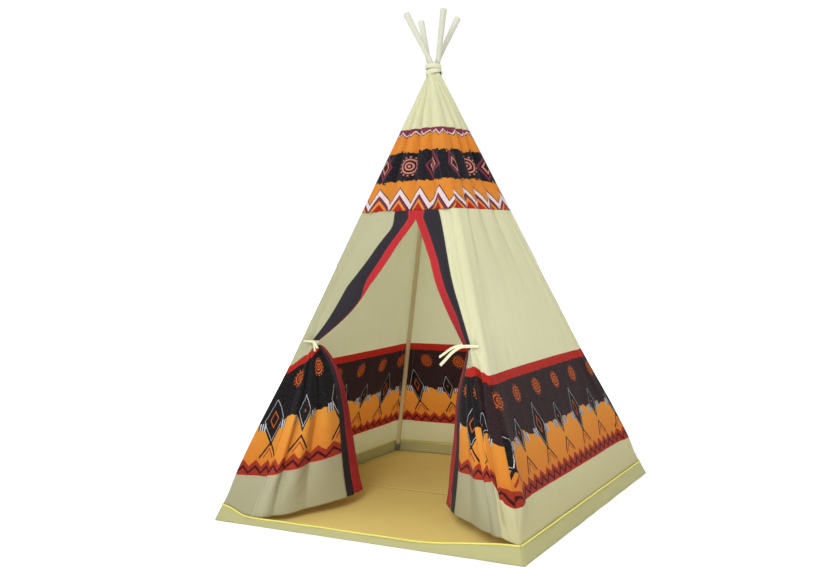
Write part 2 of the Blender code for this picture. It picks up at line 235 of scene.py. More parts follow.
def letThrough(shader, colour, share, paler=0.52):
    # Thin cloth passes some of its light to the other side, in a paler tone
    tree = colour.id_data
    through = tree.nodes.new("ShaderNodeBsdfTranslucent")
    gamma = tree.nodes.new("ShaderNodeGamma")
    gamma.inputs["Gamma"].default_value = paler
    tree.links.new(colour, gamma.inputs["Color"])
    tree.links.new(gamma.outputs["Color"], through.inputs["Color"])
    both = tree.nodes.new("ShaderNodeMixShader")
    both.inputs["Fac"].default_value = share
    tree.links.new(shader.outputs[0], both.inputs[1])
    tree.links.new(through.outputs[0], both.inputs[2])
    tree.links.new(both.outputs[0], tree.nodes["Material Output"].inputs["Surface"])


def band(value, low, high):
    return within(value, (low + high) / 2, (high - low) / 2)


def saw(value, period):
    # 0 to 1 to 0 over one period
    return times(calc("PINGPONG", value, period / 2), 2 / period)


def ramp(high, low, steep):
    # 0 to 1 with the distance between two values
    made = times(minus(high, low), steep)
    made.node.use_clamp = True
    return made


def weave(u, v, pitch):
    # Warp and weft threads crossing over and under
    across = calc("SINE", times(u, 2 * math.pi / pitch))
    up = calc("SINE", times(v, 2 * math.pi / pitch))
    return times(across, up)


def linear(r, g, b):
    return tuple((c / 255) ** 2.2 for c in (r, g, b))


# Canvas with its printed bands. UV "cloth" is metres along the cloth and up it,
# UV "edge" is the distance from the nearest seam and from the hem.
canvas = {
    "cream": linear(234, 234, 203),
    "creamShade": linear(218, 218, 181),
    "hemShade": linear(208, 201, 152),
    "threads": 0.0011,
    "stitch": linear(196, 192, 152),
    "stitchPitch": 0.0062, "stitchHalf": 0.0011, "groove": 0.0028,
    "orange": linear(230, 158, 62),
    "orangeDeep": linear(214, 104, 40),
    "night": linear(36, 33, 42),
    "plum": linear(138, 58, 84),
    "pale": linear(236, 220, 222),
    "rose": linear(222, 150, 132),
    "red": linear(188, 44, 34),
    "umber": linear(56, 38, 41),
    "umberShaded": linear(26, 22, 27),
    "brick": linear(168, 58, 38),
    "wine": linear(70, 18, 26),
    "ink": linear(26, 22, 26),
    "chalk": linear(224, 222, 226),
}
# Heights in metres up the cloth. Each "teeth" holds a zigzag's pitch, height and lower edge.
upperPrint = {
    "low": 0.985, "high": 1.262,
    "rough": 0.010, "ragged": 0.052,  # how far the grain moves the bands' edges
    "topTeeth": (0.027, 0.015, 1.238),
    "dark": (1.134, 0.050),  # middle and half height of the dark band
    "motif": 0.190,  # from one medallion to the next
    "ring": 0.034, "ringAt": 0.02,
    "lozenge": 0.030, "lozengeAt": 0.115,
    "teeth": (0.078, 0.052, 0.997),
}
lowerPrint = {
    "low": 0.143, "high": 0.483,
    "rough": 0.014, "drip": 0.070,
    "dark": (0.298, 0.460), "redFrom": 0.456,
    "motif": 0.150,  # from one lozenge to the next
    "sun": 0.027, "sunAt": 0.01, "sunHeight": 0.412,
    "lozenge": 0.070, "lozengeAt": 0.085, "lozengeHeight": 0.306,
    "teeth": (0.045, 0.020, 0.150),
    "edge": 0.1475,
}


def ringMotif(du, dv, radius, line):
    # Two rings, a dot and a ring of short rays
    far = calc("SQRT", plus(times(du, du), times(dv, dv)))
    outer = within(far, radius * 0.68, line)
    inner = within(far, radius * 0.34, line)
    angle = calc("ARCTAN2", dv, du)
    rays = isUnder(saw(plus(angle, 7.0), math.pi / 7), 0.42)
    halo = times(within(far, radius * 0.93, line * 0.9), rays)
    dot = isUnder(far, radius * 0.13)
    return calc("MAXIMUM", calc("MAXIMUM", outer, inner), calc("MAXIMUM", halo, dot))


def cellOf(value, period, shift):
    # Distance from the middle of the nearest cell, negative to its left
    return calc("WRAP", plus(value, shift), period / 2, -period / 2)


def shaken(value, grain, amount):
    # Lets the grain move a straight edge up and down
    return plus(value, times(minus(grain, 0.5), amount))


def zigzag(u, pitch, tall, low):
    return plus(times(saw(u, pitch), tall), low)


def paintAll(colour, whole, layers):
    for over, mask in layers:
        colour = paint(colour, over, times(whole, mask))
    return colour


def upperBand(colour, u, v, grain):
    c, look = canvas, upperPrint
    rough = shaken(v, grain, look["rough"])
    ragged = shaken(v, grain, look["ragged"])
    whole = band(v, look["low"], look["high"])
    colour = paint(colour, c["orange"], whole)
    glow = times(whole, times(grain, 0.7))
    colour = paint(colour, c["orangeDeep"], times(glow, grain))
    # narrow zigzag under the top edge
    line = zigzag(u, *look["topTeeth"])
    above = times(isOver(v, line), isUnder(rough, look["high"]))
    colour = paint(colour, c["plum"], above)
    gap = minus(v, line)
    colour = paint(colour, c["wine"], within(gap, -0.001, 0.0044))
    colour = paint(colour, c["pale"], within(gap, 0.0005, 0.0027))
    # ragged dark band with ringed medallions and lozenges in turn
    middle, half = look["dark"]
    colour = paint(colour, c["night"], within(ragged, middle, half))
    dv = minus(v, middle)
    du = cellOf(u, look["motif"], look["ringAt"])
    colour = paint(colour, c["rose"], ringMotif(du, dv, look["ring"], 0.0026))
    du = cellOf(u, look["motif"], look["lozengeAt"])
    span = plus(absolute(du), times(absolute(dv), 0.62))
    colour = paint(colour, c["plum"], isUnder(span, look["lozenge"]))
    colour = paint(colour, c["night"], isUnder(span, look["lozenge"] - 0.007))
    colour = paint(colour, c["rose"], within(span, 0.014, 0.0028))
    # broad zigzag with its dark outline, and filled triangles below it
    gap = minus(v, zigzag(u, *look["teeth"]))
    return paintAll(colour, whole, (
        (c["plum"], within(gap, -0.020, 0.020)),
        (c["orange"], isUnder(gap, -0.026)),
        (c["red"], isUnder(gap, -0.038)),
        (c["wine"], within(gap, 0.0, 0.0150)),
        (c["pale"], within(gap, 0.0, 0.0105)),
    ))


def lowerBand(colour, u, v, uv, grain, dark):
    c, look = canvas, lowerPrint
    rough = shaken(v, grain, look["rough"])
    drips = noiseOn(uv, 13.0, 2.0, 0.5, (1.0, 0.4, 1.0))
    ragged = shaken(rough, drips, look["drip"])
    whole = band(v, look["low"], look["high"])
    colour = paint(colour, c["orange"], whole)
    low = calc("MAXIMUM", times(times(minus(0.275, v), 7.5), grain), 0.0)
    colour = paint(colour, c["orangeDeep"], times(whole, low))
    foot, top = look["dark"]
    colour = paint(colour, dark, times(isOver(ragged, foot), isUnder(rough, top)))
    colour = paint(colour, c["red"], times(isOver(rough, look["redFrom"]), whole))
    # small ringed suns, spaced apart from the tall lozenges
    dv = minus(v, look["sunHeight"])
    sun = ringMotif(cellOf(u, look["motif"], look["sunAt"]), dv, look["sun"], 0.0022)
    colour = paint(colour, c["orangeDeep"], sun)
    # tall lozenges that hang from the dark ground into the orange, every other one smaller
    du = absolute(cellOf(u, look["motif"], look["lozengeAt"]))
    dv = minus(v, look["lozengeHeight"])
    lozenge = plus(times(du, 1.75), times(absolute(dv), 0.88))
    lozenge = shaken(lozenge, grain, 0.012)
    other = absolute(cellOf(u, look["motif"] * 2, look["lozengeAt"]))
    big = isUnder(other, look["motif"] / 2)
    lozenge = plus(lozenge, times(minus(1.0, big), 0.020))
    colour = paint(colour, c["ink"], isUnder(lozenge, look["lozenge"]))
    colour = paint(colour, c["chalk"], within(lozenge, 0.058, 0.0015))
    colour = paint(colour, c["orangeDeep"], within(lozenge, 0.022, 0.0030))
    # a ticked fringe on both sides of each lozenge, and stepped chevrons under it
    skirt = times(within(dv, -0.018, 0.012), isUnder(du, 0.052))
    skirt = times(skirt, isOver(du, 0.026))
    colour = paint(colour, c["ink"], skirt)
    colour = paint(colour, c["chalk"], times(skirt, isUnder(saw(u, 0.0088), 0.5)))
    leg = plus(v, times(du, 1.3))
    for tone, height, half, reach in (("ink", 0.238, 0.0042, 0.034), ("brick", 0.220, 0.0030, 0.020)):
        chevron = times(within(leg, height, half), isUnder(du, reach))
        colour = paint(colour, c[tone], chevron)
    # toothed border along the lower edge
    line = zigzag(u, *look["teeth"])
    return paintAll(colour, whole, (
        (c["brick"], isUnder(rough, plus(line, 0.020))),
        (c["wine"], within(minus(v, line), 0.0, 0.0042)),
        (c["red"], isUnder(v, look["edge"])),
    ))


def stitches(edge, hem, place, half, pitch, gap):
    # A row of dashes that runs beside an edge
    return times(within(edge, place, half), isOver(saw(hem, pitch), gap))


def canvasMaterial(name, printed=True, tone=None, stitchAt=(0.033,), dark=None, through=0.48,
                   low=None, lowUnder=0.30):
    c = canvas
    made, tree, shader = newMaterial(name, 0.9, 0.05)
    u, v, uv = uvParts(tree, "cloth")
    edge, hem, _ = uvParts(tree, "edge")
    where = objectCoords(tree)
    slub = noiseOn(uv, 60.0, 3.0, 0.6, (1.0, 14.0, 1.0))
    slubUp = noiseOn(uv, 60.0, 3.0, 0.6, (14.0, 1.0, 1.0))
    patch = noiseOn(where, 2.6, 3.0, 0.5)
    base, shade = tone or (c["cream"], c["creamShade"])
    mixed = plus(plus(times(slub, 0.35), times(slubUp, 0.35)), times(patch, 0.5))
    colour = paint(base, shade, times(minus(mixed, 0.30), 1.4))
    if printed or low:
        colour = paint(colour, low or c["hemShade"], ramp(lowUnder, v, 3.2))
    if printed:
        grain = noiseOn(uv, 42.0, 4.0, 0.65)
        colour = upperBand(colour, u, v, grain)
        colour = lowerBand(colour, u, v, uv, grain, dark or c["umber"])
        colour = paint(colour, base, times(isOver(slub, 0.60), 0.06))
    raised = plus(times(weave(u, v, c["threads"]), 0.35), times(slub, 0.8))
    for place in stitchAt:
        thread = stitches(edge, hem, place, c["stitchHalf"], c["stitchPitch"], 0.28)
        colour = paint(colour, c["stitch"], times(thread, 0.12))
        raised = minus(raised, times(within(edge, place, c["groove"]), 1.6))
        raised = plus(raised, times(thread, 1.3))
    tree.links.new(colour, shader.inputs["Base Color"])
    bump(shader, raised, 0.35, 0.0006)
    if through:
        letThrough(shader, colour, through)
    return made


stripStitch = {"fromEdge": 0.0035, "half": 0.0007, "pitch": 0.0055, "groove": 0.0018}


def plainCloth(name, base, shade, roughness=0.85, threads=0.0010, twill=False, stitch=None, foldShade=None):
    # Plain woven cloth on UV "cloth", with a row of stitches along each long edge
    made, tree, shader = newMaterial(name, roughness, 0.03)
    u, v, uv = uvParts(tree, "cloth")
    edge, hem, _ = uvParts(tree, "edge")
    fine = noiseOn(uv, 90.0, 3.0, 0.6)
    patch = noiseOn(objectCoords(tree), 9.0, 3.0, 0.5)
    mixed = plus(times(fine, 0.5), times(patch, 0.6))
    colour = paint(base, shade, times(minus(mixed, 0.25), 1.5))
    if foldShade:
        # painted shade, darker in the folds round the ties
        colour = paint(colour, foldShade, times(ramp(0.74, v, 6.0), ramp(v, 0.12, 4.0)))
    if twill:
        raised = saw(plus(u, v), threads * 2)
    else:
        raised = weave(u, v, threads)
    raised = times(raised, 0.5)
    if stitch:
        row = stripStitch
        thread = stitches(edge, hem, row["fromEdge"], row["half"], row["pitch"], 0.3)
        colour = paint(colour, stitch, times(thread, 0.35))
        raised = minus(raised, within(edge, row["fromEdge"], row["groove"]))
        raised = plus(raised, thread)
    tree.links.new(colour, shader.inputs["Base Color"])
    bump(shader, raised, 0.4, 0.0005)
    return made


def hardMaterial(name, colour, roughness, scale, depth):
    made, tree, shader = newMaterial(name, roughness)
    grain = noiseOn(objectCoords(tree), scale, 4.0, 0.6)
    dim = tuple(v * 0.8 for v in colour)
    tree.links.new(paint(colour, dim, grain), shader.inputs["Base Color"])
    bump(shader, grain, 0.2, depth)
    return made


print("materials")
printed = canvasMaterial("printedCanvas")
# Copies of the printed canvas for the left side cloth and the flaps, with painted shade: darker, greyer
# cream, a darker dark band and a darker hem
leftShadedTone = (linear(206, 205, 174), linear(188, 187, 152))
flapShadedTone = (linear(192, 190, 160), linear(174, 171, 140))
flapShadedLow = linear(184, 180, 146)
printedSide = canvasMaterial("printedSideCanvas", stitchAt=())
printedLeftSide = canvasMaterial("printedLeftSideCanvas", tone=leftShadedTone, dark=canvas["umberShaded"], stitchAt=(),
                                 low=flapShadedLow)
printedFlap = canvasMaterial("printedFlapCanvas", tone=flapShadedTone, dark=canvas["umberShaded"], stitchAt=(),
                             through=0.3, low=flapShadedLow)
# The hem border's cream, darkened with painted shade
borderShadedTone = (linear(197, 194, 144), linear(179, 175, 121))
plain = canvasMaterial("plainCanvas", printed=False, tone=borderShadedTone, stitchAt=(0.006,), through=0.25)
sheetTone = (linear(226, 203, 122), linear(208, 178, 90))
groundCloth = canvasMaterial("groundCloth", printed=False, tone=sheetTone, stitchAt=(0.010, 0.016), through=0)
pipingCloth = plainCloth("yellowPiping", linear(230, 224, 122), linear(214, 204, 92), 0.7, 0.0012, True)
# the red strips carry painted shade in their folds round the ties
redCloth = plainCloth("redStrip", linear(176, 38, 42), linear(146, 30, 38), 0.85, 0.001, True,
                      stitch=linear(216, 92, 80), foldShade=linear(116, 26, 34))
darkCloth = plainCloth("darkStrip", linear(40, 35, 42), linear(24, 20, 26), 0.85, 0.001, True,
                       stitch=linear(84, 76, 84))
tieCloth = plainCloth("tieRibbon", linear(224, 222, 188), linear(204, 201, 160), 0.75, 0.0011, True,
                      stitch=linear(240, 234, 204))
lashingCloth = plainCloth("lashingTape", linear(210, 210, 182), linear(188, 188, 154), 0.75, 0.0011, True)
sleeveTone = (linear(207, 207, 191), linear(188, 188, 168))
sleeveLow = linear(218, 206, 168)
sleeveCloth = canvasMaterial("sleeveCanvas", printed=False, tone=sleeveTone, stitchAt=(0.004,), through=0,
                             low=sleeveLow, lowUnder=1.55)
tubePlastic = hardMaterial("polePlastic", (0.78, 0.78, 0.75), 0.42, 240.0, 0.0001)
plugPlastic = hardMaterial("plugPlastic", (0.10, 0.10, 0.10), 0.5, 300.0, 0.0001)
footRubber = hardMaterial("footRubber", (0.22, 0.21, 0.19), 0.9, 400.0, 0.0002)


# Cloth building
def newSheet(name, columns, rows, place, material, coords, thickness=None, outward=1):
    # A flat grid laid along place(across, up) and given the cloth's thickness
    bpy.ops.object.select_all(action="DESELECT")
    bpy.ops.mesh.primitive_grid_add(x_subdivisions=columns, y_subdivisions=rows, size=1, calc_uvs=True)
    piece = bpy.context.object
    piece.name = name
    mesh = piece.data
    mesh.name = name
    shares = [(v.co.x + 0.5, v.co.y + 0.5) for v in mesh.vertices]
    spots, cloths, edges = [], [], []
    for a, b in shares:
        spots.append(place(a, b))
        clothAt, edgeAt = coords(a, b)
        cloths.append(clothAt)
        edges.append(edgeAt)
    for vert, spot in zip(mesh.vertices, spots):
        vert.co = spot
    first = mesh.uv_layers[0]
    first.name = "cloth"
    mesh.uv_layers.new(name="edge")
    for loop in mesh.loops:
        mesh.uv_layers["cloth"].data[loop.index].uv = cloths[loop.vertex_index]
        mesh.uv_layers["edge"].data[loop.index].uv = edges[loop.vertex_index]
    mesh.materials.append(material)
    bpy.ops.object.shade_smooth()
    shell = piece.modifiers.new("thickness", "SOLIDIFY")
    shell.thickness = thickness or tent["cloth"]
    shell.offset = outward
    shell.use_even_offset = False
    bpy.ops.object.modifier_apply(modifier=shell.name)
    return piece


def ribbonCoords(wide, length):
    # Places on a flat ribbon, and how far they are from its nearest edge
    return lambda a, b: ((a * wide, b * length), (min(a, 1 - a) * wide, b * length))


def crest(x):
    # Round crests with narrow valleys between them
    return 2 * (math.sin(x / 2) ** 2 + 0.012) ** 0.42 - 1.1


foldLook = {
    "crownDepth": 0.013,  # soft folds that fan down from the crown
    "crownCount": 4.0,
    "poleDepth": 0.0070,  # a fold beside each pole
    "drift": 0.0060,  # slow waves
    "crease": 0.0017,  # small wrinkles
    "belly": 0.010,  # sag between the poles
}


cornerSwell = (0.008, 0.028, 0.010, 0.006)  # slack cloth low on each pole, front left first


def swellAt(corner, near, z):
    rise = smooth(0.055, 0.17, z) * smooth(0.50, 0.24, z)
    return cornerSwell[corner % 4] * rise * math.exp(-((near / 0.06) ** 2))


def wallRelief(side, s, z):
    # How far the cloth stands out from its flat face at this place
    width = wallWidth(side, z)
    near = min(s, width - s)
    across = s / width
    free = smooth(0.008, 0.05, near)
    fan = smooth(0.60, 1.28, z) * smooth(1.456, 1.41, z)
    depth = min(foldLook["crownDepth"], width * 0.07)
    wave = crest(2 * math.pi * foldLook["crownCount"] * across + side * 1.7 + 1.6 * lump(0, side, z, 0.5))
    relief = depth * wave * fan
    beside = math.exp(-(((near - 0.050) / 0.015) ** 2)) * (0.6 + 0.7 * lump(side, z, across, 0.35))
    relief += foldLook["poleDepth"] * beside * smooth(1.38, 1.2, z)
    relief += foldLook["drift"] * lump(s, z, side * 3.1, 0.33)
    relief += foldLook["crease"] * lump(s * 1.6, z, side * 5.3, 0.055)
    relief -= foldLook["belly"] * math.sin(math.pi * across) * math.sin(math.pi * min(z / 1.3, 1))
    hold = smooth(0.050, 0.10, z)
    swell = swellAt(side, s, z) + swellAt(side + 1, width - s, z)
    return relief * free * (0.25 + 0.75 * hold) + swell


def wallCoords(side, s, z, hemAt=0.05):
    width = wallWidth(side, z)
    return (s - width / 2 + side * 0.37, z), (min(s, width - s), z - hemAt)


def faceSheet(name, side, low, high, columns, rows, material, body, *stands):
    def at(across, rise):
        z = low + (high - low) * rise
        return wallWidth(side, z) * across, z

    def place(across, rise):
        s, z = at(across, rise)
        relief = wallRelief(side, s, z) if z > tent["seamHeight"] else 0
        return wallPoint(side, s, z, relief)

    piece = newSheet(name, columns, rows, place, material, lambda a, b: wallCoords(side, *at(a, b)))
    foot, top = wallWidth(side, low), wallWidth(side, high)
    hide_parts(*stands)
    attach(piece, body)
    return piece


def narrows(piece, side):
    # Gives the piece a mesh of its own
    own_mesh(piece)


faceSheetCount = (96, 150)
wallLow = tent["seamHeight"] + 0.0012
for side in (1, 2, 3):
    name = sideNames[side]
    wall = faceSheet(name + "WallCloth", side, wallLow, tent["clothTop"], *faceSheetCount, printed,
                     name + "_face", name + "_wall")
    narrows(wall, side)
panel = faceSheet("frontUpperCloth", 0, tent["panelLow"], tent["clothTop"], 72, 60, printed,
                  "front_face", "front_upper_panel")
narrows(panel, 0)
print("walls")


# The doorway: the front face's side cloths, the strips along the opening and the tied-back flaps
doorway = {
    "darkTop": 0.085, "redTop": 0.030,  # strip edges at the top, from the middle
    "darkTie": 0.045, "redTie": 0.056, "openTie": 0.067,  # at the ties, from the corner
    "sway": 0.028,  # how far the top of the opening hangs to the right
    "apex": 0.960,
    "tieRoom": 0.012,
    "hemRise": 0.040,
    "sillSag": 0.025, "sillEase": (0.13, 0.34),  # the front hem's drop, and its ease to each corner
    "lowBowTo": 0.42,
    "flapGather": 0.007,
    "sideFold": 0.005,
    "tieCrease": 0.0030,  # creases that run to the tie
}
flaps = {
    "left": {
        "hand": -1, "corner": 0, "start": 0.130,
        "feet": ((0.334, 0.269), (0.331, 0.314), (0.328, 0.369)),
        "folds": 3.2, "foldDepth": 0.024, "hug": (0.055, 0.0), "flutter": 0.006, "fadeLift": 0.0,
        "lifts": ((0.0, 1.0, 0.040),), "liftBetween": (0.08, 0.56),
        "tieLift": 0.045, "hingeRise": 0.0, "cloth": printedLeftSide, "valley": 0.004,
        "darkBow": 0.040, "openBow": 0.044, "bowSpan": 1.0, "lowBow": 0.016, "swayFrom": 0.68,
        "curl": 0.004, "tuck": 1, "bow": (0.038, 2.5, 0.6), "topEase": 0.0,
    },
    "right": {
        "hand": 1, "corner": 1, "start": 0.055,
        "feet": ((0.339, 0.239), (0.379, 0.284), (0.419, 0.329)),
        "folds": 3.0, "foldDepth": 0.018, "hug": (0.010, 0.026), "flutter": 0.005, "fadeLift": 1.0,
        "lifts": ((0.0, 0.35, 0.020), (0.6, 0.95, 0.034)), "liftBetween": (0.02, 0.12),
        "tieLift": 0.010, "hingeRise": 0.016, "cloth": printedSide, "valley": 0.016,
        "darkBow": 0.002, "openBow": 0.012, "bowSpan": 0.62, "lowBow": 0.0, "swayFrom": 0.35,
        "curl": 0.008, "tuck": 0, "bow": (0.036, 1.3, 1.7), "topEase": 0.55,
    },
}


def halfFront(z):
    return (innerCorner(1, z).x - innerCorner(0, z).x) / 2


def sillSag(side, s):
    # The front hem hangs slack between its corners, most near the left one
    if side != 0:
        return 0
    width = wallWidth(0, tent["seamHeight"])
    left, right = doorway["sillEase"]
    return doorway["sillSag"] * smooth(0, left, s) * smooth(0, right, width - s)


tieZ = tent["tieHeight"]
darkTie = halfFront(tieZ) - doorway["darkTie"]
redTie = halfFront(tieZ) - doorway["redTie"]
openTie = halfFront(tieZ) - doorway["openTie"]


def doorShare(z):
    # 0 at the ties, 1 where the opening's strips end under the upper panel
    return min(max((z - tieZ) / (tent["panelLow"] - tieZ), 0), 1)


def doorSway(look, z):
    return look["hand"] * doorway["sway"] * smooth(look["swayFrom"], 1, doorShare(z))


def lowBow(look, t):
    return look["lowBow"] * math.sin(math.pi * min(t / doorway["lowBowTo"], 1))


def darkEdge(look, z):
    # The dark strip's outer edge
    t = doorShare(z)
    line = darkTie + (doorway["darkTop"] - darkTie) * t
    line -= look["darkBow"] * smooth(0.2, 0.75, t) * smooth(1.03, 0.84, t) + lowBow(look, t)
    return line + doorSway(look, z)


def openEdge(look, z):
    # The opening's own edge
    share = (z - tieZ) / (doorway["apex"] - tieZ)
    bow = look["openBow"] * math.sin(math.pi * min(doorShare(z) / look["bowSpan"], 1))
    return max(openTie * (1 - share), 0.0002) + doorSway(look, z) - bow - lowBow(look, doorShare(z))


def redEdge(look, z):
    # Low on a tucked side the red strip turns behind the dark one
    t = doorShare(z)
    tie = redTie - openTie
    wide = tie + (doorway["redTop"] - tie) * smooth(0, 0.25, t)
    return openEdge(look, z) + wide * (smooth(0.30, 0.52, t) if look["tuck"] else 1) + 0.0014


def printLift(look, share, z):
    lift = sum(amount * smooth(low, high, share) for low, high, amount in look["lifts"])
    return lift * smooth(*look["liftBetween"], z) * (1 - look["topEase"] * smooth(0.22, 0.50, z))


def hingeX(look, z):
    # A flap's hinge runs straight from its foot to the tie
    foot = halfFront(wallLow) - look["start"]
    return foot + (darkTie - foot) * (z - wallLow) / (tieZ - doorway["tieRoom"] - wallLow)


def makeSideCloth(word):
    look = flaps[word]
    hand = look["hand"]

    def across(z, share):
        poleX = abs(innerCorner(look["corner"], z).x)
        edge = darkEdge(look, z) if z >= tieZ - doorway["tieRoom"] else hingeX(look, z)
        return poleX + (edge - poleX) * share

    def at(along, rise):
        z = wallLow + (tent["panelLow"] + 0.002 - wallLow) * rise
        share = along if hand < 0 else 1 - along
        # it reaches down to the slack hem
        z -= sillSag(0, hand * across(z, share) + halfFront(z)) * smooth(0.12, 0.05, z)
        return across(z, share), z, share

    def place(along, rise):
        x, z, share = at(along, rise)
        near = abs(innerCorner(look["corner"], z).x) - x
        free = smooth(0.006, 0.03, near) * smooth(0, 0.2, 1 - share)
        relief = doorway["sideFold"] * lump(x * 1.5, z, hand * 2.0, 0.12)
        above = smooth(tieZ, tieZ + 0.2, z)
        relief += doorway["sideFold"] * above * math.sin(10 * share + 5 * z + hand) * 0.8
        fromTie = math.hypot(x - darkTie, z - tieZ)
        turn = math.atan2(z - tieZ, x - darkTie)
        creased = doorway["tieCrease"] * math.sin(8 * turn + hand) * smooth(0, 0.02, fromTie)
        relief += creased * math.exp(-fromTie / 0.10) * 1.5
        below = smooth(0.06, 0.12, z) * smooth(0.56, 0.45, z)
        relief -= look["valley"] * math.exp(-(((share - 0.70) / 0.13) ** 2)) * below
        relief += foldLook["crease"] * lump(x * 1.6, z, hand * 5.3, 0.05)
        relief *= free * smooth(0.05, 0.09, z)
        spot = frontPoint(hand * x, z, relief + swellAt(look["corner"], near, z) * smooth(0, 0.3, 1 - share))
        spot.z += look["hingeRise"] * share**1.5 * smooth(0.20, 0.05, z)
        return spot

    def coords(along, rise):
        x, z, share = at(along, rise)
        return (hand * x, z - printLift(look, share, z)), (halfFront(z) - x, z - 0.05)

    piece = newSheet(word + "SideCloth", 30, 120, place, look["cloth"], coords)
    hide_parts(f"front_{word}_drape")
    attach(piece, "front_face")
    narrows(piece, 0)


def makeDoorStrip(word, tone, material):
    look = flaps[word]
    hand = look["hand"]
    low, high = tieZ + doorway["tieRoom"] * 0.35, tent["panelLow"] - 0.0005
    isRed = tone == "Red"

    def at(across, rise):
        z = low + (high - low) * rise
        inner = openEdge(look, z) if isRed else redEdge(look, z)
        outer = redEdge(look, z) if isRed else darkEdge(look, z)
        share = across if hand > 0 else 1 - across
        return inner, outer, z, share

    def place(across, rise):
        inner, outer, z, share = at(across, rise)
        t = doorShare(z)
        sag = look["curl"] * math.sin(math.pi * t) * (1 - share * 0.5 if isRed else 0.5 - share * 0.5)
        ripple = 0.0012 * lump(inner * 2, z, hand * 9.1, 0.05) + 0.0015 * math.sin(21 * z + hand * 2)
        ripple *= (1 - share * 0.5 if isRed else 0.5 - share * 0.5) * smooth(0.985, 0.93, z)
        if not isRed:
            ripple += 0.004 * math.sin(math.pi * share) * math.sin(math.pi * t)
            return frontPoint(hand * (inner + (outer - inner) * share), z, ripple - sag)
        # what doesn't show lies folded behind the dark strip
        whole = max(outer - inner, 0.020)
        shown = outer - inner
        reach = (1 - share) * whole
        x = outer - reach if reach <= shown else inner + (reach - shown)
        behind = 0.0028 * smooth(0, 0.006, reach - shown)
        return frontPoint(hand * x, z, ripple - sag - behind)

    def coords(across, rise):
        inner, outer, z, share = at(across, rise)
        wide = max(outer - inner, 0.020)
        return (share * wide, z), (min(share, 1 - share) * wide, z)

    piece = newSheet(f"{word}Door{tone}Strip", 12, 100, place, material, coords, 0.0014)
    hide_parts(f"{word}_door_{tone.lower()}_strip")
    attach(piece, "front_face")
    narrows(piece, 0)


def flapLines(look):
    # The flap's foot and head: its hinge, then the edges of print, dark strip and red strip
    hand = look["hand"]
    corner = halfFront(0)
    low = wallLow + 0.0013
    low -= sillSag(0, hand * hingeX(look, low) + halfFront(low))
    lows = [frontPoint(hand * hingeX(look, low), low)]
    for x, y in look["feet"]:
        lows.append(Vector((hand * (corner - x), y - corner, doorway["hemRise"])))
    hinge = frontPoint(hand * darkTie, tieZ - doorway["tieRoom"])
    step = doorway["flapGather"]
    highs = [hinge + Vector((-hand * step * i, step * i, 0)) for i in range(4)]
    return lows, highs


def makeFlapPart(word, left, right, material, node, slot, columns):
    look = flaps[word]
    hand = look["hand"]
    lows, highs = flapLines(look)
    run = lows[1] - lows[0]
    run.z = 0
    run.normalize()
    faceWay = Vector((run.y, -run.x, 0)) * -hand
    isPrint = left == 0
    wide = (lows[right] - lows[left]).length

    def flat(across, rise):
        share = across if hand < 0 else 1 - across
        a = lows[left].lerp(highs[left], rise)
        b = lows[right].lerp(highs[right], rise)
        far, lean, power = look["bow"]
        bow = far * max(math.sin(math.pi * rise**lean), 0) ** power
        b += run * bow
        if not isPrint:
            return a.lerp(b, share) + run * bow * (1 - share), share, (b - a).length
        # the cloth keeps to the front face for a little before it turns in
        hug = smooth(0, 0.45, 1 - rise)
        middle = a + Vector((-hand * (look["hug"][0] * hug + 0.008), look["hug"][1] * hug, 0))
        spot = a * (1 - share) ** 2 + middle * 2 * share * (1 - share) + b * share**2
        return spot, share, (b - a).length

    def flutter(rise):
        fall = 1 - rise
        return look["flutter"] * math.sin(6.2 * fall + 1.3 * hand) * smooth(0, 0.35, fall)

    def place(across, rise):
        spot, share, near = flat(across, rise)
        fall = 1 - rise
        if not isPrint:
            ripple = 0.0025 * math.sin(14 * fall + 2 * share + left) * fall * (share if left == 1 else 1)
            spot += faceWay * (flutter(rise) + ripple)
            spot.z += 0.002 * math.sin(5 * share + left) * fall**3
            return spot
        hold = math.sin(math.pi * share)
        depth = look["foldDepth"] * (0.30 * fall + 0.70 * math.sin(math.pi * min(fall * 1.05, 1)))
        depth = min(depth, near * 0.30)
        turns = look["folds"] + 0.35 * lump(share, rise, hand, 0.7)
        wave = crest(2 * math.pi * turns * share**0.85 + 1.1 * hand + 1.4 * fall * hand)
        relief = depth * wave * hold**0.7
        relief += flutter(rise) * share**2
        relief += 0.0035 * lump(share * 0.4, rise * 0.5, hand * 3, 0.10) * fall * hold
        relief += 0.0011 * lump(share * 0.5, rise * 0.6, hand * 7, 0.03) * hold
        spot += faceWay * relief
        spot.z += (look["hingeRise"] * (1 - share) - 0.006 * hold) * fall**3
        return spot

    def coords(across, rise):
        spot, share, _ = flat(across, rise)
        fall = 1 - rise
        if not isPrint:
            return (share * wide, spot.z), (min(share, 1 - share) * wide * max(fall, 0.2), spot.z)
        lift = printLift(look, 1, spot.z) * (1 - share * look["fadeLift"])
        lift += share * (doorway["hemRise"] * fall + look["tieLift"] * rise)
        hinge = lows[0].lerp(highs[0], rise)
        u = hand * (abs(hinge.x) - share * wide * (0.6 + 0.4 * fall))
        up = spot.z - lift
        return (u, up), (up - 0.05 * (1 - share), u)

    piece = newSheet(word + node, columns, 120, place, material, coords, 0.0011 if isPrint else 0.0014)
    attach(piece, word + "_flap")
    stands = word + "_flap" if isPrint else f"{word}_flap_{slot}"
    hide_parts(stands)
    poleFoot, poleTop = poleAt(look["corner"], 0), poleAt(look["corner"], tieZ)
    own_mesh(piece)


for word in ("left", "right"):
    makeSideCloth(word)
    makeDoorStrip(word, "Dark", darkCloth)
    makeDoorStrip(word, "Red", redCloth)
    makeFlapPart(word, 0, 1, printedFlap, "FlapCloth", "", 80)
    makeFlapPart(word, 1, 2, darkCloth, "FlapDarkStrip", "dark_strip", 8)
    makeFlapPart(word, 2, 3, redCloth, "FlapRedStrip", "red_strip", 8)
print("doorway")


